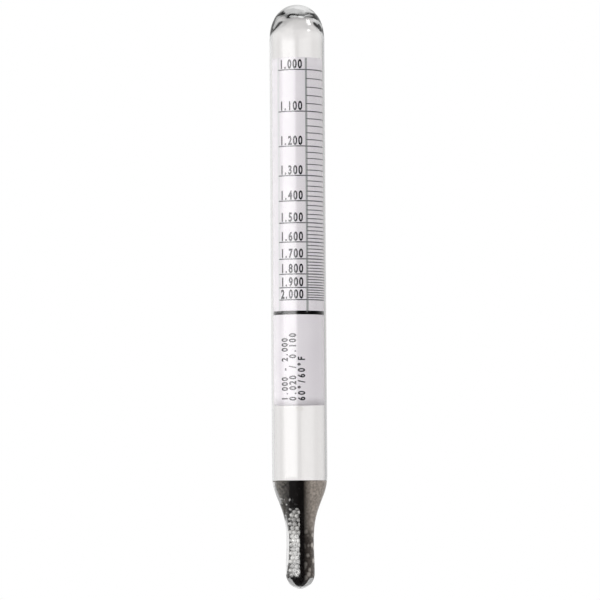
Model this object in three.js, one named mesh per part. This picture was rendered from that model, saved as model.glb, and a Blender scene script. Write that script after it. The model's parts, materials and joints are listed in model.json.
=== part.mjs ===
// Plain-form laboratory hydrometer for liquids heavier than water, specific gravity 1.000 to 2.000.
//
// A sealed glass tube carries a rolled paper scale and ends in a drawn-down finger full of lead shot.
// Millimetres, +Z up along the axis of the glass, front of the scale towards -Y. The origin is on the
// axis at the 1.000 graduation, where the surface of pure water lies when the instrument floats.
// Heights in the constants are measured from the bottom tip of the finger.

import * as THREE from 'three';

// Glass envelope
const TOTAL_LENGTH = 165;
const TUBE_RADIUS = 7.8;
const TUBE_WALL = 0.6;
const FLOAT_MARK_HEIGHT = 145.7;

const CROWN_HEIGHT = 9.9;
const CROWN_FULLNESS = 2.15;
const CROWN_THICKNESS = 2.2;

const SHOULDER_TOP = 31.5;
const SHOULDER_UPPER_PULL = 25.4;
const SHOULDER_LOWER_PULL = 23.3;
const FINGER_WAIST_HEIGHT = 13.8;
const FINGER_WAIST_RADIUS = 3.9;
const FINGER_SWELL_HEIGHT = 4.2;
const FINGER_SWELL_RADIUS = 4.1;
const FINGER_WALL = 0.7;
const TIP_THICKNESS = 1.2;

// Clearance that stands for a fused, glued or resting contact
const CONTACT_GAP = 0.3;

// Rolled paper scale
const PAPER_BOTTOM = 51.5;
const PAPER_TOP = 149.2;
const PAPER_THICKNESS = 0.12;
const PAPER_LAP_GAP = 0.13;
const PAPER_OVERLAP_DEGREES = 25;

// Dabs of adhesive that hold the paper to the glass
const DAB_HALF_WIDTH = 1.2;
const DAB_HALF_DEPTH = 0.22;
const DAB_HALF_HEIGHT = 0.6;

// Ballast
const SHOT_RADIUS = 0.75;
const SHOT_SPACING = 1.8;
const BED_TOP = 27.6;
const BINDER_THICKNESS = 0.6;
const BINDER_MENISCUS = 0.5;

// Smoothness of the round shapes
const ROUND_SEGMENTS = 40;
const CURVE_STEPS = 6;
const PAPER_STEPS = 72;

const INNER_RADIUS = TUBE_RADIUS - TUBE_WALL;
const CROWN_BASE = TOTAL_LENGTH - CROWN_HEIGHT;

// The contents of the envelope, with heights measured from the tip
const instrument = new THREE.Group();
instrument.position.z = -FLOAT_MARK_HEIGHT;

function glass() {
  return new THREE.MeshStandardMaterial({
    color: 0xeef2ef, roughness: 0.05, metalness: 0, transparent: true, opacity: 0.35,
  });
}

function paper() {
  return new THREE.MeshStandardMaterial({ color: 0xf3f1f6, roughness: 0.85, metalness: 0 });
}

function adhesive() {
  return new THREE.MeshStandardMaterial({ color: 0xe6dfc8, roughness: 0.35, metalness: 0 });
}

function lead() {
  return new THREE.MeshStandardMaterial({ color: 0x55534f, roughness: 0.45, metalness: 0.9 });
}

function resin() {
  return new THREE.MeshStandardMaterial({ color: 0x6a5138, roughness: 0.3, metalness: 0 });
}

function addPiece(name, geometry, material) {
  const mesh = new THREE.Mesh(geometry, material);
  mesh.name = name;
  instrument.add(mesh);
  return mesh;
}

// Turns a profile of (radius, height) points about the vertical axis.
function turned(points) {
  return new THREE.LatheGeometry(points, ROUND_SEGMENTS).rotateX(Math.PI / 2);
}

// A quarter of a slightly squared-off ellipse, from the full radius at its base to the axis.
function crownCurve(radius, height, base) {
  const points = [];
  const steps = 2 * CURVE_STEPS;
  for (let i = 0; i <= steps; i++) {
    const angle = (i / steps) * Math.PI / 2;
    const across = i === steps ? 0 : radius * Math.cos(angle) ** (2 / CROWN_FULLNESS);
    const up = height * Math.sin(angle) ** (2 / CROWN_FULLNESS);
    points.push(new THREE.Vector2(across, base + up));
  }
  return points;
}

// One surface of the bulb from the tip up to the shoulder. The wall is the same normal distance in
// from the outer surface along the finger and the shoulder, and thicker at the tip.
function bulbCurve(fingerInset, tubeInset, tipInset) {
  const swell = FINGER_SWELL_RADIUS - fingerInset;
  const waist = FINGER_WAIST_RADIUS - fingerInset;
  const full = TUBE_RADIUS - tubeInset;
  const middle = (FINGER_SWELL_HEIGHT + FINGER_WAIST_HEIGHT) / 2;
  const lift = 0.25 * fingerInset;
  const path = new THREE.Path();
  path.moveTo(0, tipInset);
  path.absellipse(
    0, FINGER_SWELL_HEIGHT, swell, FINGER_SWELL_HEIGHT - tipInset, -Math.PI / 2, 0, false, 0,
  );
  path.bezierCurveTo(swell, middle, waist, middle, waist, FINGER_WAIST_HEIGHT + lift);
  path.bezierCurveTo(
    waist, SHOULDER_LOWER_PULL + lift, full, SHOULDER_UPPER_PULL + lift, full, SHOULDER_TOP,
  );
  return path.getPoints(CURVE_STEPS);
}

// Keeps the part of a rising profile below a height, and ends it exactly there.
function cutAt(points, top) {
  const kept = points.filter((point) => point.y < top);
  const lower = kept[kept.length - 1];
  const upper = points[kept.length];
  const share = (top - lower.y) / (upper.y - lower.y);
  kept.push(new THREE.Vector2().lerpVectors(lower, upper, share));
  return kept;
}

// The outline that contents of the bulb keep to, one contact gap inside the glass.
function bulbContents() {
  return bulbCurve(
    FINGER_WALL + CONTACT_GAP, TUBE_WALL + CONTACT_GAP, TIP_THICKNESS + CONTACT_GAP,
  );
}

function addStemTube() {
  const bottom = SHOULDER_TOP + CONTACT_GAP;
  const top = CROWN_BASE - CONTACT_GAP;
  const profile = [
    new THREE.Vector2(TUBE_RADIUS, bottom),
    new THREE.Vector2(TUBE_RADIUS, top),
    new THREE.Vector2(INNER_RADIUS, top),
    new THREE.Vector2(INNER_RADIUS, bottom),
    new THREE.Vector2(TUBE_RADIUS, bottom),
  ];
  addPiece('stem_tube', turned(profile), glass());
}

function addSealedTop() {
  const inner = crownCurve(INNER_RADIUS, CROWN_HEIGHT - CROWN_THICKNESS, CROWN_BASE);
  const outer = crownCurve(TUBE_RADIUS, CROWN_HEIGHT, CROWN_BASE);
  addPiece('sealed_top', turned([...inner.reverse(), ...outer]), glass());
}

function addBallastBulb() {
  const outer = bulbCurve(0, 0, 0);
  const inner = bulbCurve(FINGER_WALL, TUBE_WALL, TIP_THICKNESS);
  addPiece('ballast_bulb', turned([...outer, ...inner.reverse()]), glass());
}

// The sheet is wound a little more than once round, its ends lapped at the back.
function addScalePaper() {
  const outerRadius = INNER_RADIUS - CONTACT_GAP;
  const lapStep = PAPER_THICKNESS + PAPER_LAP_GAP;
  const turn = THREE.MathUtils.degToRad(360 + PAPER_OVERLAP_DEGREES);
  const start = THREE.MathUtils.degToRad(90 - PAPER_OVERLAP_DEGREES / 2);
  const outside = [];
  const inside = [];
  for (let i = 0; i <= PAPER_STEPS; i++) {
    const along = (i / PAPER_STEPS) * turn;
    const radius = outerRadius - lapStep * along / (2 * Math.PI);
    const direction = new THREE.Vector2(Math.cos(start + along), Math.sin(start + along));
    outside.push(direction.clone().multiplyScalar(radius));
    inside.push(direction.clone().multiplyScalar(radius - PAPER_THICKNESS));
  }
  const section = new THREE.Shape([...outside, ...inside.reverse()]);
  const sheet = new THREE.ExtrudeGeometry(section, {
    depth: PAPER_TOP - PAPER_BOTTOM, bevelEnabled: false, steps: 1,
  });
  addPiece('scale_paper', sheet, paper()).position.z = PAPER_BOTTOM;
}

// A flattened bead of adhesive at the back, against the glass and just clear of the paper's edge.
function addAdhesiveDab(name, height) {
  const bead = new THREE.SphereGeometry(1, 16, 10);
  bead.scale(DAB_HALF_WIDTH, DAB_HALF_DEPTH, DAB_HALF_HEIGHT);
  const mesh = addPiece(name, bead, adhesive());
  mesh.position.set(0, INNER_RADIUS - CONTACT_GAP - DAB_HALF_DEPTH, height);
}

// The packed shot below the top layer, as one body with the outline of the packing.
function addShotBed() {
  const profile = cutAt(bulbContents(), BED_TOP);
  profile.push(new THREE.Vector2(0, BED_TOP));
  addPiece('shot_bed', turned(profile), lead());
}

// The top layer of shot: balls in rings from the wall inwards, and one in the middle.
function addTopShot() {
  const height = BED_TOP + CONTACT_GAP + SHOT_RADIUS;
  const wallRadius = cutAt(bulbContents(), height - SHOT_RADIUS).pop().x;
  let ring = wallRadius - SHOT_RADIUS;
  let count = 0;
  while (ring > SHOT_SPACING / 2) {
    const inRing = Math.floor(2 * Math.PI * ring / SHOT_SPACING);
    for (let i = 0; i < inRing; i++) {
      const angle = (i / inRing) * 2 * Math.PI;
      count += 1;
      addShot(count, ring * Math.cos(angle), ring * Math.sin(angle), height);
    }
    ring -= SHOT_SPACING;
  }
  addShot(count + 1, 0, 0, height);
}

function addShot(number, x, y, z) {
  const ball = new THREE.IcosahedronGeometry(SHOT_RADIUS, 1);
  const name = `shot_${String(number).padStart(2, '0')}`;
  addPiece(name, ball, lead()).position.set(x, y, z);
}

// A thin set layer over the shot, drawn up a little where it wets the glass.
function addBinderLayer() {
  const bottom = BED_TOP + 2 * CONTACT_GAP + 2 * SHOT_RADIUS;
  const top = bottom + BINDER_THICKNESS;
  const radius = cutAt(bulbContents(), bottom).pop().x;
  const profile = new THREE.Path();
  profile.moveTo(0, bottom);
  profile.lineTo(radius, bottom);
  profile.lineTo(radius, top + BINDER_MENISCUS);
  profile.quadraticCurveTo(radius - BINDER_MENISCUS, top, radius - 3 * BINDER_MENISCUS, top);
  profile.lineTo(0, top);
  addPiece('binder_layer', turned(profile.getPoints(CURVE_STEPS)), resin());
}

addStemTube();
addSealedTop();
addBallastBulb();
addScalePaper();
addAdhesiveDab('adhesive_dab_upper', PAPER_TOP + CONTACT_GAP + DAB_HALF_HEIGHT);
addAdhesiveDab('adhesive_dab_lower', PAPER_BOTTOM - CONTACT_GAP - DAB_HALF_HEIGHT);
addShotBed();
addTopShot();
addBinderLayer();

const hydrometer = new THREE.Group();
hydrometer.add(instrument);

export default hydrometer;
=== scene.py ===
import json
import math

import bmesh
import bpy
import numpy as np
from mathutils import Matrix, Vector, noise


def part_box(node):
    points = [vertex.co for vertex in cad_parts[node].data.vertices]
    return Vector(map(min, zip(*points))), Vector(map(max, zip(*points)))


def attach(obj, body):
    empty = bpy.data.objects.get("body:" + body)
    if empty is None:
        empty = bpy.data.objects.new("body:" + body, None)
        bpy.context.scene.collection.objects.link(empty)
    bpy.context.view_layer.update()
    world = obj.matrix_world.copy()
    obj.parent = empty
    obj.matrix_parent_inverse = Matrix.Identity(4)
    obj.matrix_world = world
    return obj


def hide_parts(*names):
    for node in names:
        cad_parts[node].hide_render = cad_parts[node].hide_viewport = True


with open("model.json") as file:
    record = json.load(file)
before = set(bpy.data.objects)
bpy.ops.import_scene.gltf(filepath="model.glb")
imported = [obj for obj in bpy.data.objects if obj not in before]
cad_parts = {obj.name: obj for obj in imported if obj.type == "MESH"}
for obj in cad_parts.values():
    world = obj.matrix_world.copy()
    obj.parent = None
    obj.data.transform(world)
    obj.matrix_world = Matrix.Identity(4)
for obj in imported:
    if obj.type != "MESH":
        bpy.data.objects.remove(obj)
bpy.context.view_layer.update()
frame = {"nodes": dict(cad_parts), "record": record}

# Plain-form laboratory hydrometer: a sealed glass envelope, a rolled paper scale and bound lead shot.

MM = 0.001
BODY = "root"

# ---------------------------------------------------------------- sizes taken from the frame
BULB_LOW, BULB_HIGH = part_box("ballast_bulb")
CROWN_LOW, CROWN_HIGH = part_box("sealed_top")
PAPER_LOW, PAPER_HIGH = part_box("scale_paper")
BINDER_TOP_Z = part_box("binder_layer")[1][2]

TIP_Z = BULB_LOW[2]
SHOULDER_Z = BULB_HIGH[2]
CROWN_BASE_Z = CROWN_LOW[2]
APEX_Z = CROWN_HIGH[2]
MIDDLE_Z = (TIP_Z + APEX_Z) / 2
TUBE_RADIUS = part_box("stem_tube")[1][0]
FLOAT_LINE_Z = next(m for m in frame["record"]["mounts"] if m["name"] == "float_line")["pos_m"][2]

# ---------------------------------------------------------------- glass
TUBE_WALL = 0.6 * MM
CROWN_FULLNESS = 2.15
CROWN_THICKNESS = 2.2 * MM
SHOULDER_UPPER_PULL = 25.4 * MM
SHOULDER_LOWER_PULL = 23.3 * MM
FINGER_WAIST_HEIGHT = 13.8 * MM
FINGER_WAIST_RADIUS = 3.9 * MM
FINGER_SWELL_HEIGHT = 4.2 * MM
FINGER_SWELL_RADIUS = 4.1 * MM
FINGER_WALL = 0.7 * MM
TIP_THICKNESS = 1.2 * MM
INNER_RADIUS = TUBE_RADIUS - TUBE_WALL
GLASS_SEGMENTS = 128
BULB_STEPS = 24
TUBE_STEPS = 60
CROWN_STEPS = 40
DRAWN_UNEVENNESS = 0.03 * MM      # of the straight tube, as drawn
WORKED_UNEVENNESS = 0.09 * MM     # of the two ends, as worked by hand in the flame
CROWN_LUMPS = 0.26 * MM           # unevenness left inside the crown by closing it
GLASS_IOR = 1.5

# ---------------------------------------------------------------- paper and print
PAPER_RADIUS = INNER_RADIUS - 0.07 * MM
PAPER_THICKNESS = 0.1 * MM
PAPER_OVERLAP = math.radians(25)
LAP_STEP = 0.2 * MM
LAP_EASE = math.radians(25)       # how far round the under end takes to dip behind the over end
PAPER_HALF_TURN = math.pi + PAPER_OVERLAP / 2

INK_LIFT = 0.008 * MM
INK_DEPTH = 0.016 * MM
INK_RADIUS = PAPER_RADIUS + INK_LIFT

SCALE_CONSTANT = 129.6 * MM       # graduation depth below the 1.000 line is this times (1 - 1 / gravity)
FIRST_GRAVITY = 1.0
GRAVITY_STEP = 0.02
GRADUATIONS = 50
GRADUATIONS_PER_NUMBER = 5
FINE_LINE = 0.25 * MM
MAIN_LINE = 0.3 * MM
RULE_LINE = 0.62 * MM
FAINT_RULE_LINE = 0.7 * MM
LEFT_RULE = -5.75 * MM            # positions round the paper are arc lengths from its front line
RIGHT_RULE = 2.46 * MM
GRADUATION_END = 12.6 * MM
BAR_STEP = 0.25 * MM              # length of the flat facets that a printed bar bends round in
RING_HEIGHT = 68.4 * MM           # below the 1.000 line
RING_WIDTH = 1.05 * MM
PRINT_MARGIN = 0.2 * MM           # of bare paper above the rules
NUMBER_SIZE = 3.45 * MM
NUMBER_RIGHT = 0.76 * MM          # middle of the last digit
NUMBER_STEPS = (5.35 * MM, 4.2 * MM, 2.9 * MM, 1.45 * MM, 0.0)
NUMBER_RISE = 0.42 * MM
NUMBER_WIDTH = 0.66
STROKE_GAIN = 0.034
LEGEND_SIZE = 2.64 * MM
LEGEND_WIDTH = 0.8
LEGEND_RISE = 1.7 * MM            # from the paper's lower edge to the first character's middle
LEGEND = (                        # text, arc length of its baseline, pitch of its characters
    ("1.000 - 2.000", -3.2 * MM, 1.37 * MM),
    ("0.020 / 0.100", -0.85 * MM, 1.48 * MM),
    ("60\u00b0/60\u00b0F", 1.57 * MM, 1.6 * MM),
)

# ---------------------------------------------------------------- ballast
BALL_RADIUS = 0.75 * MM
BALL_SIZE_SPREAD = 0.05
BALL_SQUASH = 0.06
BALLS_POURED = 470                # those that settle above the binder's level are left out
DRY_COLUMN_TOP = 23 * MM          # above the tip; below it the left of the shot is bare behind the glass
MENISCUS = 0.5 * MM
BALLAST_TOP = BINDER_TOP_Z - MENISCUS - TIP_Z
COLUMN_LEFT = -3.0 * MM           # the bare column's left edge, from the axis
COLUMN_RIGHT = -0.05 * MM
WETTING = 0.02 * MM               # how far the resin reaches into the glass where it has wetted it
TIP_GAP = 0.12 * MM               # between the resin and the glass beside the tip
SURFACE_SAG = 0.45 * MM           # of the resin's top, from its meniscus to its middle
SURFACE_RIPPLE = 0.12 * MM
SHOT_SEED = 7


# ================================================================ helpers
def material(name):
    """A new node material with an empty tree, and that tree's nodes and links."""
    made = bpy.data.materials.new(name)
    made.use_nodes = True
    made.node_tree.nodes.clear()
    return made, made.node_tree.nodes, made.node_tree.links


def node(nodes, kind, **inputs):
    """A shader node with plain values on the named inputs."""
    made = nodes.new(kind)
    for key, value in inputs.items():
        made.inputs[key.replace("_", " ")].default_value = value
    return made


def ranged(nodes, links, source, start, end, low=0.0, high=1.0):
    """A value mapped so that it goes from low at start to high at end, and no further."""
    made = node(nodes, "ShaderNodeMapRange", From_Min=start, From_Max=end, To_Min=low, To_Max=high)
    links.new(source, made.inputs["Value"])
    return made.outputs["Result"]


def computed(nodes, links, operation, *operands):
    """The value of one arithmetic step on numbers and other nodes' outputs."""
    made = node(nodes, "ShaderNodeMath")
    made.operation = operation
    for socket, operand in zip(made.inputs, operands):
        if isinstance(operand, float):
            socket.default_value = operand
        else:
            links.new(operand, socket)
    return made.outputs[0]


def grain_value(nodes, links, scale, detail=2.0, roughness=0.5):
    """A noise in the piece's own coordinates, with scale in cells to the metre."""
    coords = node(nodes, "ShaderNodeTexCoord")
    made = node(nodes, "ShaderNodeTexNoise", Scale=scale, Detail=detail, Roughness=roughness)
    links.new(coords.outputs["Object"], made.inputs["Vector"])
    return made.outputs["Fac"]


def cell_distance(nodes, links, scale):
    """The distance from the middle of scattered round cells, in the piece's own coordinates."""
    coords = node(nodes, "ShaderNodeTexCoord")
    made = node(nodes, "ShaderNodeTexVoronoi", Scale=scale)
    links.new(coords.outputs["Object"], made.inputs["Vector"])
    return made.outputs["Distance"]


def surface(nodes, links, colour, relief, strength, depth, **settings):
    """A Principled shader with a colour output and a bump from a relief value."""
    bump = node(nodes, "ShaderNodeBump", Strength=strength, Distance=depth)
    links.new(relief, bump.inputs["Height"])
    body = node(nodes, "ShaderNodeBsdfPrincipled", **settings)
    links.new(bump.outputs["Normal"], body.inputs["Normal"])
    if colour is not None:
        links.new(colour, body.inputs["Base Color"])
    return body


def output(nodes, links, shader):
    """Links a shader to the material's output."""
    out = node(nodes, "ShaderNodeOutputMaterial")
    links.new(shader.outputs[0], out.inputs["Surface"])


def shader_mix(nodes, links, first, second):
    """A mix of two shaders, with its share still to be set."""
    mix = node(nodes, "ShaderNodeMixShader")
    links.new(first.outputs[0], mix.inputs[1])
    links.new(second.outputs[0], mix.inputs[2])
    return mix


def colour_mix(nodes, links, share, first, second):
    """A colour between two others, each of which is three numbers or another node's output."""
    made = node(nodes, "ShaderNodeMix")
    made.data_type = "RGBA"
    links.new(share, made.inputs["Factor"])
    for socket, colour in (("A", first), ("B", second)):
        if isinstance(colour, tuple):
            made.inputs[socket].default_value = (*colour, 1)
        else:
            links.new(colour, made.inputs[socket])
    return made.outputs["Result"]


def mesh_object(name, verts, faces, smooth=True):
    """An object in the scene with a mesh of its own."""
    mesh = bpy.data.meshes.new(name)
    mesh.from_pydata([tuple(v) for v in verts], [], faces)
    mesh.validate()
    made = bpy.data.objects.new(name, mesh)
    bpy.context.scene.collection.objects.link(made)
    if smooth:
        mesh.polygons.foreach_set("use_smooth", [True] * len(mesh.polygons))
    return made


def finish_piece(piece, finish, slot, *replaced):
    """Gives a piece its material, hides the CAD nodes it stands for, and rides it; the slot is not used."""
    piece.data.materials.clear()
    piece.data.materials.append(finish)
    if replaced:
        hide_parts(*replaced)
    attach(piece, BODY)
    return piece


def revolved(profile, segments, inward=False, wobble=None):
    """Vertices and faces of a closed surface turned about Z. The profile's ends lie on the axis."""
    verts, rings = [], []
    for index, (radius, height) in enumerate(profile):
        if index in (0, len(profile) - 1):
            rings.append([len(verts)])
            verts.append((0.0, 0.0, height))
            continue
        ring = []
        for k in range(segments):
            angle = 2 * math.pi * k / segments
            r = radius + (wobble(angle, height, radius) if wobble else 0.0)
            ring.append(len(verts))
            verts.append((r * math.cos(angle), r * math.sin(angle), height))
        rings.append(ring)
    faces = []
    for lower, upper in zip(rings, rings[1:]):
        for k in range(segments):
            n = (k + 1) % segments
            if len(lower) == 1:
                face = [lower[0], upper[n], upper[k]]
            elif len(upper) == 1:
                face = [lower[k], lower[n], upper[0]]
            else:
                face = [lower[k], lower[n], upper[n], upper[k]]
            faces.append(face[::-1] if inward else face)
    return verts, faces


def smooth_step(value, start, end):
    """Eases from 0 at start to 1 at end."""
    share = min(1.0, max(0.0, (value - start) / (end - start)))
    return share * share * (3 - 2 * share)


def cubic(t, a, b, c, d):
    """A cubic Bezier curve's value at t."""
    return a * (1 - t) ** 3 + 3 * b * (1 - t) ** 2 * t + 3 * c * (1 - t) * t * t + d * t ** 3


def bulb_profile(finger_inset, tube_inset, tip_inset, steps):
    """Radius and height above the tip of one glass surface, from the axis at the tip to the shoulder."""
    swell = FINGER_SWELL_RADIUS - finger_inset
    waist = FINGER_WAIST_RADIUS - finger_inset
    full = TUBE_RADIUS - tube_inset
    middle = (FINGER_SWELL_HEIGHT + FINGER_WAIST_HEIGHT) / 2
    lift = 0.25 * finger_inset
    points = []
    for i in range(steps):
        a = i / steps * math.pi / 2
        drop = (FINGER_SWELL_HEIGHT - tip_inset) * math.cos(a)
        points.append((swell * math.sin(a), FINGER_SWELL_HEIGHT - drop))
    for i in range(steps):
        t = i / steps
        low, high = FINGER_SWELL_HEIGHT, FINGER_WAIST_HEIGHT + lift
        points.append((cubic(t, swell, swell, waist, waist), cubic(t, low, middle, middle, high)))
    for i in range(2 * steps + 1):
        t = i / (2 * steps)
        heights = (FINGER_WAIST_HEIGHT + lift, SHOULDER_LOWER_PULL + lift,
                   SHOULDER_UPPER_PULL + lift, SHOULDER_Z - TIP_Z)
        points.append((cubic(t, waist, waist, full, full), cubic(t, *heights)))
    return points


def crown_profile(radius, height, steps):
    """Radius and height above the tip of one surface of the closed top, from its base to the axis."""
    base = CROWN_BASE_Z - TIP_Z
    points = []
    for i in range(steps + 1):
        a = i / steps * math.pi / 2
        across = 0.0 if i == steps else radius * math.cos(a) ** (2 / CROWN_FULLNESS)
        points.append((across, base + height * math.sin(a) ** (2 / CROWN_FULLNESS)))
    return points


def lifted(profile):
    """A profile measured from the tip, moved to its place in the frame."""
    return [(r, h + TIP_Z) for r, h in profile]


INNER_BULB = bulb_profile(FINGER_WALL, TUBE_WALL, TIP_THICKNESS, BULB_STEPS)
INNER_BULB_R = np.array([p[0] for p in INNER_BULB])
INNER_BULB_H = np.array([p[1] for p in INNER_BULB])


def cavity_radius(height):
    """Inner radius of the glass at a height above the tip, up to the straight tube."""
    return np.interp(height, INNER_BULB_H, INNER_BULB_R)


# ================================================================ materials
def glass_material():
    """Clear soda glass with faint lengthwise striae. Shadow and diffuse rays pass straight through it."""
    made, nodes, links = material("clear_glass")
    coords = node(nodes, "ShaderNodeTexCoord")
    stretch = node(nodes, "ShaderNodeMapping", Scale=(900, 900, 12))
    striae = node(nodes, "ShaderNodeTexNoise", Scale=1.0, Detail=2.0, Roughness=0.5)
    links.new(coords.outputs["Object"], stretch.inputs["Vector"])
    links.new(stretch.outputs["Vector"], striae.inputs["Vector"])
    body = surface(nodes, links, None, striae.outputs["Fac"], 0.12, 0.03 * MM,
                   Base_Color=(0.99, 0.992, 0.99, 1), Roughness=0.0, IOR=GLASS_IOR, Transmission_Weight=1.0)
    through = node(nodes, "ShaderNodeBsdfTransparent", Color=(0.96, 0.957, 0.957, 1))
    path = node(nodes, "ShaderNodeLightPath")
    mix = shader_mix(nodes, links, body, through)
    shadow, diffuse = path.outputs["Is Shadow Ray"], path.outputs["Is Diffuse Ray"]
    links.new(computed(nodes, links, "MAXIMUM", shadow, diffuse), mix.inputs["Fac"])
    output(nodes, links, mix)
    return made


def paper_material():
    """Smooth white scale paper: a faint fibre mottle, and a little light through it."""
    made, nodes, links = material("scale_paper_white")
    fibres = grain_value(nodes, links, 2600.0, 5.0, 0.65)
    clouds = grain_value(nodes, links, 240.0)
    tint = colour_mix(nodes, links, clouds, (0.845, 0.81, 0.85), (0.915, 0.88, 0.915))
    body = surface(nodes, links, tint, fibres, 0.25, 0.02 * MM, Roughness=0.8, Specular_IOR_Level=0.2)
    through = node(nodes, "ShaderNodeBsdfTranslucent", Color=(0.85, 0.84, 0.86, 1))
    mix = shader_mix(nodes, links, body, through)
    mix.inputs["Fac"].default_value = 0.18
    output(nodes, links, mix)
    return made


def ink_material(name, dark, light, shine, roughness):
    """Printing ink, a little faint and uneven where the paper's fibres took less of it."""
    made, nodes, links = material(name)
    patches = grain_value(nodes, links, 3500.0, 3.0, 0.6)
    tone = colour_mix(nodes, links, patches, dark, light)
    body = surface(nodes, links, tone, patches, 0.2, 0.01 * MM, Roughness=roughness,
                   Specular_IOR_Level=shine)
    output(nodes, links, body)
    return made


def lead_material():
    """Lead shot, dulled by handling: each ball has its own tone, with darker oxide in patches."""
    made, nodes, links = material("lead_shot")
    tone = node(nodes, "ShaderNodeAttribute")
    tone.attribute_name = "tone"
    grime = grain_value(nodes, links, 1500.0, 4.0, 0.6)
    clean = colour_mix(nodes, links, tone.outputs["Fac"], (0.55, 0.54, 0.53), (0.93, 0.92, 0.9))
    oxide = ranged(nodes, links, grime, 0.58, 0.8)
    colour = colour_mix(nodes, links, oxide, clean, (0.07, 0.065, 0.06))
    body = surface(nodes, links, colour, grime, 0.5, 0.04 * MM, Metallic=0.85)
    links.new(ranged(nodes, links, grime, 0.0, 1.0, 0.42, 0.65), body.inputs["Roughness"])
    output(nodes, links, body)
    return made


def resin_material():
    """Set binder resin, with light and shade painted on by position: near-black painted shade in the middle,
    and a dark greyish tone at the far left painted as lit from the left.

    At the right its brown taupe is painted brighter as lit from the right; lower down there it is darker,
    with pale beads painted in place of balls.
    """
    made, nodes, links = material("binder_resin")
    coords = node(nodes, "ShaderNodeTexCoord")
    split = node(nodes, "ShaderNodeSeparateXYZ")
    links.new(coords.outputs["Object"], split.inputs[0])
    across, height = split.outputs["X"], split.outputs["Z"]
    # painted light: share of the right side, where the resin's brown is painted as lit from the right
    right_lit_share = ranged(nodes, links, across, 0.95 * MM, 3.3 * MM)
    # share of the far left, where the resin is painted as lit from the left
    edge = ranged(nodes, links, across, -2.5 * MM, -5.2 * MM)
    high = ranged(nodes, links, height, TIP_Z + 14 * MM, TIP_Z + 19 * MM)
    grain = grain_value(nodes, links, 1500.0, 3.0, 0.6)
    specks = ranged(nodes, links, grain, 0.38, 0.62)
    near = ranged(nodes, links, cell_distance(nodes, links, 560.0), 0.5, 0.24)
    # the resin's brown taupe, painted brighter as lit from the right
    taupe = colour_mix(nodes, links, specks, (0.2, 0.172, 0.148), (0.36, 0.315, 0.275))
    # darker lower down at the right, with pale beads painted in place of balls
    dusk = colour_mix(nodes, links, specks, (0.05, 0.042, 0.036), (0.12, 0.1, 0.088))
    beaded = colour_mix(nodes, links, near, dusk, (0.5, 0.46, 0.42))
    mottled = colour_mix(nodes, links, high, beaded, taupe)
    # dark greyish tone painted as light from the left
    left_lit_greyish = colour_mix(nodes, links, specks, (0.012, 0.011, 0.010), (0.17, 0.155, 0.135))
    # near-black painted shade in the middle, turning to the painted left light at the far left
    shade_and_left_light = colour_mix(nodes, links, edge, (0.004, 0.003, 0.003), left_lit_greyish)
    tone = colour_mix(nodes, links, right_lit_share, shade_and_left_light, mottled)
    body = surface(nodes, links, tone, grain, 0.6, 0.08 * MM, Roughness=0.35, Specular_IOR_Level=0.06)
    output(nodes, links, body)
    return made


def adhesive_material():
    """Clear glue, barely yellowed, clouded by small bubbles."""
    made, nodes, links = material("paper_adhesive")
    bubbles = cell_distance(nodes, links, 4000.0)
    tone = colour_mix(nodes, links, bubbles, (0.95, 0.945, 0.925), (0.99, 0.988, 0.98))
    body = surface(nodes, links, tone, bubbles, 0.3, 0.03 * MM, Roughness=0.08, IOR=1.12,
                   Transmission_Weight=1.0)
    output(nodes, links, body)
    return made


# ================================================================ pieces
def make_glass(finish):
    """The fused envelope: an outer surface and a sealed inner one, round but for a little hand work."""
    outer = lifted(bulb_profile(0, 0, 0, BULB_STEPS))
    inner = lifted(INNER_BULB)
    for i in range(1, TUBE_STEPS):
        h = SHOULDER_Z + (CROWN_BASE_Z - SHOULDER_Z) * i / TUBE_STEPS
        outer.append((TUBE_RADIUS, h))
        inner.append((INNER_RADIUS, h))
    crown_height = APEX_Z - CROWN_BASE_Z
    outer += lifted(crown_profile(TUBE_RADIUS, crown_height, CROWN_STEPS))
    inner += lifted(crown_profile(INNER_RADIUS, crown_height - CROWN_THICKNESS, CROWN_STEPS))

    def worked(angle, height, radius):
        place = Vector((1.3 * math.cos(angle), 1.3 * math.sin(angle), height / (9 * MM)))
        straight = SHOULDER_Z <= height <= CROWN_BASE_Z
        amount = DRAWN_UNEVENNESS if straight else WORKED_UNEVENNESS
        fade = min(1.0, radius / (2 * MM))
        return -amount * fade * (0.5 + 0.5 * noise.noise(place))

    def lumpy(angle, height, radius):
        share = min(1.0, max(0.0, (height - CROWN_BASE_Z - 1.5 * MM) / (3 * MM)))
        place = Vector((radius * math.cos(angle), radius * math.sin(angle), height)) / (2.6 * MM)
        fade = min(1.0, radius / (1.5 * MM))
        return worked(angle, height, radius) - CROWN_LUMPS * share * fade * (0.6 + noise.noise(place))

    verts, faces = revolved(outer, GLASS_SEGMENTS, wobble=worked)
    inner_verts, inner_faces = revolved(inner, GLASS_SEGMENTS, inward=True, wobble=lumpy)
    offset = len(verts)
    faces += [[i + offset for i in face] for face in inner_faces]
    piece = mesh_object("glass_envelope", verts + inner_verts, faces)
    return finish_piece(piece, finish, "glass", "stem_tube", "sealed_top", "ballast_bulb")


def lap_inset(angle):
    """How far the sheet dips behind its own other end at an angle round from its front line."""
    start = PAPER_HALF_TURN - PAPER_OVERLAP - LAP_EASE
    return LAP_STEP * smooth_step(angle, start, start + LAP_EASE)


def round_paper(arc, height, radius):
    """A point at an arc length to the right of the paper's front line, following the sheet."""
    angle = arc / PAPER_RADIUS
    radius -= lap_inset(angle)
    return (radius * math.sin(angle), -radius * math.cos(angle), height)


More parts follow.
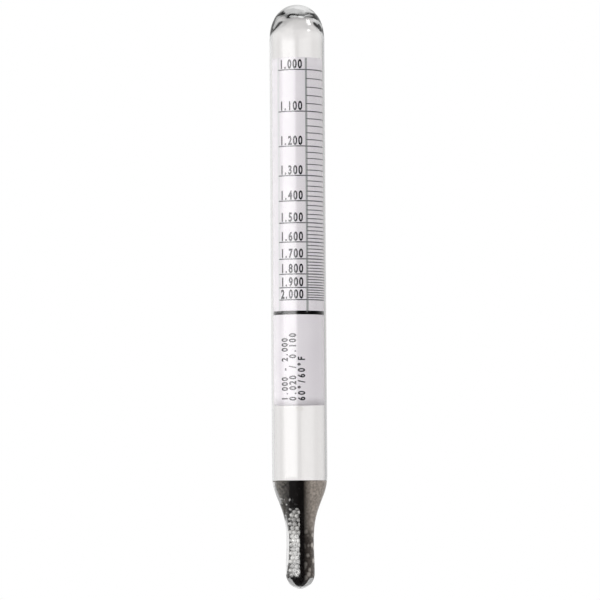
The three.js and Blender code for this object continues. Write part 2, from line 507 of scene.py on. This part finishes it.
def make_paper(finish):
    """The sheet, wound a little more than once round with its ends lapped at the back."""
    steps, rows = 220, 40
    low, high = PAPER_LOW[2], PAPER_HIGH[2]
    verts = []
    for side in (0, 1):
        for j in range(rows + 1):
            for i in range(steps + 1):
                angle = PAPER_HALF_TURN * (2 * i / steps - 1)
                radius = PAPER_RADIUS - lap_inset(angle) - side * PAPER_THICKNESS
                edge = 0.05 * MM * noise.noise(Vector((math.sin(angle) * 2, math.cos(angle) * 2, side)))
                height = low + (high - low) * j / rows
                if j in (0, rows):
                    height += edge if j == 0 else -abs(edge)
                verts.append((radius * math.sin(angle), -radius * math.cos(angle), height))
    row = steps + 1
    layer = row * (rows + 1)
    faces = []
    for j in range(rows):
        for i in range(steps):
            a = j * row + i
            faces.append([a, a + 1, a + 1 + row, a + row])
            faces.append([a + layer, a + row + layer, a + 1 + row + layer, a + 1 + layer])
    for i in range(steps):
        faces.append([i, i + layer, i + 1 + layer, i + 1])
        top = rows * row + i
        faces.append([top, top + 1, top + 1 + layer, top + layer])
    for j in range(rows):
        a = j * row
        faces.append([a, a + row, a + row + layer, a + layer])
        b = a + steps
        faces.append([b, b + layer, b + row + layer, b + row])
    piece = mesh_object("scale_paper_roll", verts, faces)
    return finish_piece(piece, finish, "paper", "scale_paper")


def printed_bar(verts, faces, left, right, low, high):
    """Adds one printed bar to a mesh: from arc length left to right and height low to high."""
    steps = max(1, int(abs(right - left) / BAR_STEP))
    start = len(verts)
    for i in range(steps + 1):
        arc = left + (right - left) * i / steps
        for radius in (INK_RADIUS - INK_DEPTH / 2, INK_RADIUS + INK_DEPTH / 2):
            verts.append(round_paper(arc, low, radius))
            verts.append(round_paper(arc, high, radius))
    for i in range(steps):
        a = start + 4 * i
        b = a + 4
        faces.append([a + 2, b + 2, b + 3, a + 3])
        faces.append([a, a + 1, b + 1, b])
        faces.append([a, b, b + 2, a + 2])
        faces.append([a + 1, a + 3, b + 3, b + 1])
    last = start + 4 * steps
    faces.append([start, start + 2, start + 3, start + 1])
    faces.append([last, last + 1, last + 3, last + 2])


def gravity_height(gravity):
    """Height of the line for one specific gravity."""
    return FLOAT_LINE_Z - SCALE_CONSTANT * (1 - 1 / gravity)


def make_graduations(finish):
    """The lines of the scale: those with a number reach across to the left rule."""
    verts, faces = [], []
    for i in range(GRADUATIONS + 1):
        height = gravity_height(FIRST_GRAVITY + GRAVITY_STEP * i)
        main = i % GRADUATIONS_PER_NUMBER == 0
        half = (MAIN_LINE if main else FINE_LINE) / 2
        left = LEFT_RULE if main else RIGHT_RULE
        printed_bar(verts, faces, left, GRADUATION_END, height - half, height + half)
    piece = mesh_object("scale_graduations", verts, faces, smooth=False)
    return finish_piece(piece, finish, "ink")


def make_rule(name, arc, width, finish):
    """One upright rule of the scale, from the ring to the top of the paper."""
    verts, faces = [], []
    low = FLOAT_LINE_Z - RING_HEIGHT
    high = PAPER_HIGH[2] - PRINT_MARGIN
    printed_bar(verts, faces, arc - width / 2, arc + width / 2, low, high)
    piece = mesh_object(name, verts, faces, smooth=False)
    return finish_piece(piece, finish, "ink")


def make_ring(finish):
    """The black band all the way round the paper, from its over end to where the lap hides it."""
    verts, faces = [], []
    middle = FLOAT_LINE_Z - RING_HEIGHT
    half_sheet = PAPER_HALF_TURN * PAPER_RADIUS
    over_end = -half_sheet + 0.1 * MM
    under_end = half_sheet - PAPER_OVERLAP * PAPER_RADIUS
    printed_bar(verts, faces, over_end, under_end, middle - RING_WIDTH / 2, middle + RING_WIDTH / 2)
    piece = mesh_object("marker_ring", verts, faces, smooth=False)
    return finish_piece(piece, finish, "ink")


def character_mesh(character, size):
    """Flat outline of one printed character, as a closed thin mesh in bmesh form."""
    curve = bpy.data.curves.new("character", "FONT")
    curve.body = character
    curve.size = size
    curve.extrude = INK_DEPTH / 2
    curve.offset = STROKE_GAIN * size
    curve.resolution_u = 4
    curve.align_x = "CENTER"
    holder = bpy.data.objects.new("character", curve)
    bpy.context.scene.collection.objects.link(holder)
    bpy.context.view_layer.update()
    graph = bpy.context.evaluated_depsgraph_get()
    mesh = bpy.data.meshes.new_from_object(holder.evaluated_get(graph))
    shape = bmesh.new()
    shape.from_mesh(mesh)
    bmesh.ops.remove_doubles(shape, verts=shape.verts, dist=1e-7)
    bpy.data.objects.remove(holder)
    bpy.data.meshes.remove(mesh)
    return shape


def wrap_character(shape, size, middle, narrow, place):
    """Bends one flat character round the paper, cut first into facets small enough to follow it."""
    cut = -size
    while cut < size:
        for normal in (Vector((1, 0, 0)), Vector((0, 1, 0))):
            geometry = shape.verts[:] + shape.edges[:] + shape.faces[:]
            bmesh.ops.bisect_plane(shape, geom=geometry, plane_co=normal * cut, plane_no=normal)
        cut += BAR_STEP
    for v in shape.verts:
        arc, height = place(middle + v.co.x * narrow, v.co.y)
        v.co = Vector(round_paper(arc, height, INK_RADIUS + v.co.z))


def printed_text(name, lines, finish):
    """Characters laid on the paper: each line is (text, middles, size, narrowness, placing function)."""
    whole = bmesh.new()
    for text, middles, size, narrow, place in lines:
        for middle, character in zip(middles, text):
            if character == " ":
                continue
            shape = character_mesh(character, size)
            wrap_character(shape, size, middle, narrow, place)
            part = bpy.data.meshes.new("part")
            shape.to_mesh(part)
            whole.from_mesh(part)
            bpy.data.meshes.remove(part)
            shape.free()
    bmesh.ops.recalc_face_normals(whole, faces=whole.faces)
    mesh = bpy.data.meshes.new(name)
    whole.to_mesh(mesh)
    whole.free()
    piece = bpy.data.objects.new(name, mesh)
    bpy.context.scene.collection.objects.link(piece)
    return finish_piece(piece, finish, "ink")


def make_numbers(finish):
    """The numbers 1.000 to 2.000, each standing just above its main line."""
    lines = []
    for i in range(0, GRADUATIONS + 1, GRADUATIONS_PER_NUMBER):
        gravity = FIRST_GRAVITY + GRAVITY_STEP * i
        base = gravity_height(gravity) + NUMBER_RISE
        middles = [NUMBER_RIGHT - step for step in NUMBER_STEPS]

        def place(x, y, base=base):
            return x, base + y

        lines.append((f"{gravity:.3f}", middles, NUMBER_SIZE, NUMBER_WIDTH, place))
    return printed_text("scale_numbers", lines, finish)


def make_legend(finish):
    """A generic legend under the ring, read from below: range, steps and reference temperature."""
    start = PAPER_LOW[2] + LEGEND_RISE
    lines = []
    for text, baseline, pitch in LEGEND:
        middles = [index * pitch for index in range(len(text))]

        def place(x, y, baseline=baseline):
            return baseline - y, start + x

        lines.append((text, middles, LEGEND_SIZE, LEGEND_WIDTH, place))
    return printed_text("legend_print", lines, finish)


def ball_limits():
    """How far from the axis a ball's centre can be at each height above the tip."""
    slope_r = np.gradient(INNER_BULB_R)
    slope_h = np.gradient(INNER_BULB_H)
    length = np.hypot(slope_r, slope_h)
    radius = INNER_BULB_R - BALL_RADIUS * slope_h / length
    height = INNER_BULB_H + BALL_RADIUS * slope_r / length
    order = np.argsort(height)
    return np.maximum(radius[order], 0), height[order]


def poured_shot(random, limit_r, limit_h):
    """Centres and radii of the balls scattered through the bulb, before they settle."""
    lowest = limit_h[0]
    height = lowest + (1.35 * BALLAST_TOP - lowest) * random.random(BALLS_POURED) ** 0.8
    reach = np.interp(height, limit_h, limit_r) * np.sqrt(random.random(BALLS_POURED))
    angle = random.random(BALLS_POURED) * 2 * math.pi
    size = BALL_RADIUS * (1 + BALL_SIZE_SPREAD * (random.random(BALLS_POURED) * 2 - 1))
    return np.stack([reach * np.cos(angle), reach * np.sin(angle), height], 1), size


def settled_shot():
    """Centres of the balls, settled in the finger and shoulder under gravity, heights above the tip."""
    random = np.random.default_rng(SHOT_SEED)
    limit_r, limit_h = ball_limits()
    place, size = poured_shot(random, limit_r, limit_h)
    touch = size[:, None] + size[None, :]
    rounds = 700
    for turn in range(rounds):
        place[:, 2] -= 0.05 * MM * (1 - turn / rounds)
        for _ in range(2):
            apart = place[:, None, :] - place[None, :, :]
            distance = np.sqrt((apart ** 2).sum(2)) + 1e-12
            overlap = np.clip(touch - distance, 0, None)
            np.fill_diagonal(overlap, 0)
            place += 0.5 * (apart * (overlap / distance)[:, :, None]).sum(1) * 0.6
            place[:, 2] = np.maximum(place[:, 2], limit_h[0])
            out = np.hypot(place[:, 0], place[:, 1]) + 1e-12
            allowed = np.interp(place[:, 2], limit_h, limit_r)
            place[:, :2] *= np.minimum(1, allowed / out)[:, None]
    kept = place[:, 2] + size < BALLAST_TOP + 0.1 * MM
    return place[kept], size[kept], random


def make_shot(finish):
    """All the lead balls as one piece, each a little out of round and with a tone of its own."""
    places, sizes, random = settled_shot()
    pattern = bmesh.new()
    bmesh.ops.create_icosphere(pattern, subdivisions=3, radius=1.0)
    unit = np.array([v.co[:] for v in pattern.verts])
    corners = [[v.index for v in f.verts] for f in pattern.faces]
    pattern.free()
    verts, faces, tones = [], [], []
    for place, size in zip(places, sizes):
        squash = 1 - BALL_SQUASH * random.random(3)
        roll = random.random() * 6.28
        turn = np.array(Matrix.Rotation(roll, 3, Vector(random.random(3) - 0.5).normalized()))
        shape = (unit * squash) @ turn * size + place + np.array([0, 0, TIP_Z])
        offset = len(verts)
        verts.extend(map(tuple, shape))
        faces.extend([[i + offset for i in corner] for corner in corners])
        tones.extend([random.random()] * len(shape))
    piece = mesh_object("lead_shot", verts, faces)
    attribute = piece.data.attributes.new("tone", "FLOAT", "POINT")
    attribute.data.foreach_set("value", tones)
    replaced = sorted(n for n in frame["nodes"] if n.startswith("shot_"))
    return finish_piece(piece, finish, "lead", *replaced)


def resin_gap(angle, height, top):
    """How far inside the glass the resin's surface is: below zero where it has wetted the glass.

    Up to DRY_COLUMN_TOP it is bare at the back left and in a column at the front left, and stays
    just off the glass left of that column. Above, it is bare in spots at the left. It also stays
    just off the glass at the two sides of the tip.
    """
    across = float(cavity_radius(height)) * math.cos(angle)
    at_left = 1 - smooth_step(across, COLUMN_RIGHT - 0.2 * MM, COLUMN_RIGHT)
    at_front = math.sin(angle) < 0
    inward = smooth_step(across, COLUMN_LEFT, COLUMN_LEFT + 0.3 * MM) if at_front else 1.0
    lower = 1 - smooth_step(height, DRY_COLUMN_TOP - 1.5 * MM, DRY_COLUMN_TOP)
    off_tip = smooth_step(height, 3.0 * MM, 4.2 * MM)
    grain = noise.noise(Vector((5 * math.cos(angle), 5 * math.sin(angle), height / (1.1 * MM))))
    column = (0.8 + 0.25 * grain) * MM * inward * lower
    spots = 0.5 * MM * smooth_step(grain, 0.42, 0.6) * (1 - lower)
    margin = 0.06 * MM * (1 - inward)
    gap = (column + spots + margin) * at_left * off_tip
    beside_tip = smooth_step(abs(math.cos(angle)), 0.6, 0.85) * (1 - smooth_step(height, 2.6 * MM, 3.6 * MM))
    gap = max(gap, TIP_GAP * beside_tip)
    gap *= min(1.0, (top - height) / (0.3 * MM))
    return gap - WETTING * (1 - min(1.0, gap / (0.05 * MM)))


def make_resin(finish):
    """The binder: level on top with a small meniscus, wetting most of the glass, over the shot."""
    around, steps = 180, 110
    top = BALLAST_TOP
    low = TIP_THICKNESS - WETTING
    angles = [-math.pi + 2 * math.pi * k / around for k in range(around)]
    verts, faces = [], []

    def bridge(lower, upper):
        for k in range(around):
            n = (k + 1) % around
            faces.append([lower + k, lower + n, upper + n, upper + k])

    for j in range(steps + 1):
        share = j / steps
        h = low + (top - low) * share * (0.35 + 0.65 * share)
        reach = float(cavity_radius(h)) if j else WETTING
        for angle in angles:
            radius = max(reach - resin_gap(angle, h, top), WETTING)
            verts.append((radius * math.cos(angle), radius * math.sin(angle), h + TIP_Z))
        if j:
            bridge((j - 1) * around, j * around)

    rim = float(cavity_radius(top))
    previous = steps * around
    for share in (0.95, 0.88, 0.77, 0.6, 0.4, 0.2):
        start = len(verts)
        level = top - SURFACE_SAG * (1 - math.exp(-14 * (1 - share)))
        for angle in angles:
            across, along = share * math.cos(angle), share * math.sin(angle)
            ripple = SURFACE_RIPPLE * noise.noise(Vector((4 * across, 4 * along, 0)))
            verts.append((rim * across, rim * along, level + ripple + TIP_Z))
        bridge(previous, start)
        previous = start
    centre = len(verts)
    verts.append((0, 0, top - SURFACE_SAG + TIP_Z))
    verts.append((0, 0, low + TIP_Z))
    for k in range(around):
        n = (k + 1) % around
        faces.append([previous + k, previous + n, centre])
        faces.append([n, k, centre + 1])
    piece = mesh_object("binder_resin", verts, faces)
    return finish_piece(piece, finish, "resin", "binder_layer")


def make_dab(name, source, finish):
    """A squeezed-out bead of glue at the paper's edge, flattened against the glass."""
    low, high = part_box(source)
    centre = (Vector(low) + Vector(high)) / 2
    half = (Vector(high) - Vector(low)) / 2
    shape = bmesh.new()
    bmesh.ops.create_icosphere(shape, subdivisions=4, radius=1.0)
    for v in shape.verts:
        lump = 1 + 0.18 * noise.noise(v.co * 1.7 + Vector((0, 0, low[2] * 100)))
        v.co = Vector((v.co.x * half.x, v.co.y * half.y, v.co.z * half.z)) * min(1.0, lump) + centre
    mesh = bpy.data.meshes.new(name)
    shape.to_mesh(mesh)
    shape.free()
    mesh.polygons.foreach_set("use_smooth", [True] * len(mesh.polygons))
    piece = bpy.data.objects.new(name, mesh)
    bpy.context.scene.collection.objects.link(piece)
    return finish_piece(piece, finish, "adhesive", source)


# ================================================================ stage
FLOOR_DROP = 40 * MM
FLOOR_HALF = 0.6
VIEW_DISTANCE = 0.85
VIEW_ELEVATION = math.radians(-3.1)
VIEW_ROLL = math.radians(0.37)
VIEW_SHIFT = 0.4 * MM             # of the point looked at, to the right of the axis
VIEW_DROP = 1.32 * MM             # of the point looked at, below the middle
FRAME_WIDTH = 169.4 * MM
SENSOR = 36.0

LAMP_ENERGY = 3.0
LAMP_SIZE = 0.3
LAMP_DISTANCE = 1.2
LAMP_AZIMUTH = 62                 # degrees from the front, positive to the right
LAMP_ELEVATION = 40

# Radiance at each compass direction, in degrees from the front, positive to the right: round the
# horizon, above it and below it.
WALLS = (
    (-180, 0.9), (-160, 0.85), (-150, 0.8), (-141, 0.8), (-125, 0.95), (-102, 0.9), (-86, 0.5), (-73, 1.3),
    (-62, 2.9), (-45, 3.4), (-27, 3.4), (-13, 2.6), (-6, 0.6), (-2, 0.02), (75, 0.02), (95, 0.2), (118, 0.5),
    (143, 0.5), (157, 0.6), (167, 0.75), (180, 0.9),
)
ABOVE = (
    (-180, 1.2), (-150, 1.3), (-120, 2.4), (-20, 2.4), (-10, 0.5), (30, 0.5), (45, 1.6), (150, 1.7),
    (180, 1.2),
)
BELOW = (
    (-180, 0.8), (-150, 0.8), (-120, 0.2), (-20, 0.1), (-10, 0.02), (30, 0.02), (45, 0.3), (150, 0.5),
    (180, 0.8),
)
OVERHEAD = 0.6

# Heights of the direction, its Z, between which one radiance turns into the next.
WALL_FOOT_BLEND = (-0.1, -0.2)
WALL_TOP_BLEND = (0.15, 0.24)
CEILING_BLEND = (0.55, 0.75)

CEILING_SHEEN = 0.45              # share of the ceiling's radiance that shows in reflections
FAR_WALL_SHEEN = 0.45             # share of the walls' radiance reflected by the far side of the glass

# What is seen straight through the glass, by the height of the direction: (height, radiance).
BACKDROP = ((-1.0, 0.5), (-0.3, 0.8), (-0.06, 0.87), (0.1, 0.89), (0.25, 0.84), (0.6, 0.55), (1.0, 0.45))
BACKDROP_TINT = (1.0, 0.972, 0.966)


def make_camera():
    """The photo's view: from the front and slightly below, rolled a little."""
    data = bpy.data.cameras.new("camera")
    data.sensor_width = SENSOR
    data.lens = SENSOR * VIEW_DISTANCE / FRAME_WIDTH
    data.clip_start = 0.01
    camera = bpy.data.objects.new("camera", data)
    bpy.context.scene.collection.objects.link(camera)
    target = Vector((VIEW_SHIFT, 0, MIDDLE_Z - VIEW_DROP))
    back = Vector((0, -math.cos(VIEW_ELEVATION), math.sin(VIEW_ELEVATION)))
    camera.location = target + back * VIEW_DISTANCE
    camera.rotation_mode = "QUATERNION"
    roll = Matrix.Rotation(VIEW_ROLL, 3, "Z").to_quaternion()
    camera.rotation_quaternion = (-back).to_track_quat("-Z", "Y") @ roll.inverted()
    bpy.context.scene.camera = camera


def make_floor():
    """A plain pale floor under the tip, which doesn't show in reflections."""
    made, nodes, links = material("floor_white")
    cloud = grain_value(nodes, links, 3.0)
    tone = colour_mix(nodes, links, cloud, (0.68, 0.68, 0.68), (0.72, 0.72, 0.72))
    body = node(nodes, "ShaderNodeBsdfPrincipled", Roughness=0.9)
    links.new(tone, body.inputs["Base Color"])
    output(nodes, links, body)
    z = TIP_Z - FLOOR_DROP
    corners = [(x * FLOOR_HALF, y * FLOOR_HALF, z) for x, y in ((-1, -1), (1, -1), (1, 1), (-1, 1))]
    floor = mesh_object("floor", corners, [[0, 1, 2, 3]], smooth=False)
    floor.data.materials.append(made)
    floor.visible_glossy = False


def make_lamp():
    """A square lamp at the upper right."""
    data = bpy.data.lights.new("side_lamp", "AREA")
    data.shape = "RECTANGLE"
    data.size = LAMP_SIZE
    data.size_y = LAMP_SIZE
    data.energy = LAMP_ENERGY
    lamp = bpy.data.objects.new("side_lamp", data)
    bpy.context.scene.collection.objects.link(lamp)
    angle = math.radians(LAMP_AZIMUTH)
    direction = Vector((math.sin(angle), -math.cos(angle), math.tan(math.radians(LAMP_ELEVATION))))
    lamp.location = Vector((0, 0, MIDDLE_Z)) + direction.normalized() * LAMP_DISTANCE
    lamp.rotation_mode = "QUATERNION"
    lamp.rotation_quaternion = (-direction).to_track_quat("-Z", "Y")


def make_studio():
    """The world: white to the camera, a backdrop to rays that have only passed through glass, and
    to all others a studio: a tall softbox at the left, dark from the front to the right, pale
    behind, with a ceiling."""
    world = bpy.data.worlds.new("studio")
    bpy.context.scene.world = world
    world.use_nodes = True
    nodes, links = world.node_tree.nodes, world.node_tree.links
    nodes.clear()
    coords = node(nodes, "ShaderNodeTexCoord")
    split = node(nodes, "ShaderNodeSeparateXYZ")
    links.new(coords.outputs["Generated"], split.inputs[0])
    height = split.outputs["Z"]
    path = node(nodes, "ShaderNodeLightPath")
    reflected = ranged(nodes, links, path.outputs["Glossy Depth"], 0.0, 1.0)
    beyond = ranged(nodes, links, path.outputs["Transmission Depth"], 2.5, 3.5)
    far_side = computed(nodes, links, "MULTIPLY", reflected, beyond)

    forward = computed(nodes, links, "MULTIPLY", split.outputs["Y"], -1.0)
    azimuth = computed(nodes, links, "ARCTAN2", split.outputs["X"], forward)
    turn = ranged(nodes, links, azimuth, -math.pi, math.pi)
    walls = radiance_round(nodes, links, turn, WALLS)
    above = radiance_round(nodes, links, turn, ABOVE)
    below = radiance_round(nodes, links, turn, BELOW)
    steep = ranged(nodes, links, height, *CEILING_BLEND)
    ceiling = colour_mix(nodes, links, steep, above, (OVERHEAD, OVERHEAD, OVERHEAD))
    ceiling = dimmed(nodes, links, ceiling, reflected, CEILING_SHEEN)
    walls = dimmed(nodes, links, walls, far_side, FAR_WALL_SHEEN)
    raised = colour_mix(nodes, links, ranged(nodes, links, height, *WALL_TOP_BLEND), walls, ceiling)
    studio = colour_mix(nodes, links, ranged(nodes, links, height, *WALL_FOOT_BLEND), raised, below)

    rise = ranged(nodes, links, height, -1.0, 1.0)
    stops = [((h + 1) / 2, level) for h, level in BACKDROP]
    backdrop = radiance_ramp(nodes, links, rise, stops, BACKDROP_TINT)
    unreflected = computed(nodes, links, "SUBTRACT", path.outputs["Is Transmission Ray"],
                           path.outputs["Glossy Depth"])
    straight = computed(nodes, links, "SUBTRACT", unreflected, path.outputs["Diffuse Depth"])
    straight = ranged(nodes, links, straight, 0.0, 1.0)

    lit = node(nodes, "ShaderNodeBackground")
    links.new(colour_mix(nodes, links, straight, studio, backdrop), lit.inputs["Color"])
    seen = node(nodes, "ShaderNodeBackground", Color=(1, 1, 1, 1))
    mix = shader_mix(nodes, links, lit, seen)
    out = node(nodes, "ShaderNodeOutputWorld")
    links.new(path.outputs["Is Camera Ray"], mix.inputs["Fac"])
    links.new(mix.outputs[0], out.inputs["Surface"])


def dimmed(nodes, links, radiance, share, level):
    """A radiance brought down to a level of itself as the share goes from 0 to 1."""
    factor = colour_mix(nodes, links, share, (1.0, 1.0, 1.0), (level, level, level))
    product = node(nodes, "ShaderNodeVectorMath")
    product.operation = "MULTIPLY"
    links.new(radiance, product.inputs[0])
    links.new(factor, product.inputs[1])
    return product.outputs[0]


def radiance_round(nodes, links, turn, levels):
    """A radiance that changes with the compass direction, as a colour output."""
    return radiance_ramp(nodes, links, turn, [((d + 180) / 360, v) for d, v in levels])


def radiance_ramp(nodes, links, share, levels, tint=(1, 1, 1)):
    """A colour ramp of radiances; the first level must be at 0 and the last at 1."""
    ramp = node(nodes, "ShaderNodeValToRGB")
    stops = ramp.color_ramp.elements
    for place, _ in levels[1:-1]:
        stops.new(place)
    for stop, (_, level) in zip(stops, levels):
        stop.color = (*(level * part for part in tint), 1)
    links.new(share, ramp.inputs["Fac"])
    return ramp.outputs["Color"]


make_camera()
make_floor()
make_lamp()
make_studio()
bpy.context.scene.view_settings.view_transform = "Standard"

fine_ink = ink_material("fine_ink", (0.05, 0.05, 0.055), (0.12, 0.12, 0.13), 0.1, 0.7)
rule_ink = ink_material("rule_ink", (0.28, 0.29, 0.29), (0.44, 0.45, 0.45), 0.1, 0.7)
faint_ink = ink_material("faint_ink", (0.64, 0.64, 0.65), (0.76, 0.76, 0.77), 0.1, 0.7)
text_ink = ink_material("text_ink", (0.01, 0.01, 0.012), (0.035, 0.035, 0.04), 0.05, 0.7)
solid_ink = ink_material("solid_ink", (0.001, 0.001, 0.001), (0.004, 0.004, 0.004), 0.3, 0.13)
glue = adhesive_material()

make_glass(glass_material())
make_paper(paper_material())
make_graduations(fine_ink)
make_rule("scale_rule", RIGHT_RULE, RULE_LINE, rule_ink)
make_rule("scale_rule_left", LEFT_RULE, FAINT_RULE_LINE, faint_ink)
make_ring(solid_ink)
make_numbers(text_ink)
make_legend(text_ink)
make_shot(lead_material())
make_resin(resin_material())
make_dab("adhesive_upper", "adhesive_dab_upper", glue)
make_dab("adhesive_lower", "adhesive_dab_lower", glue)
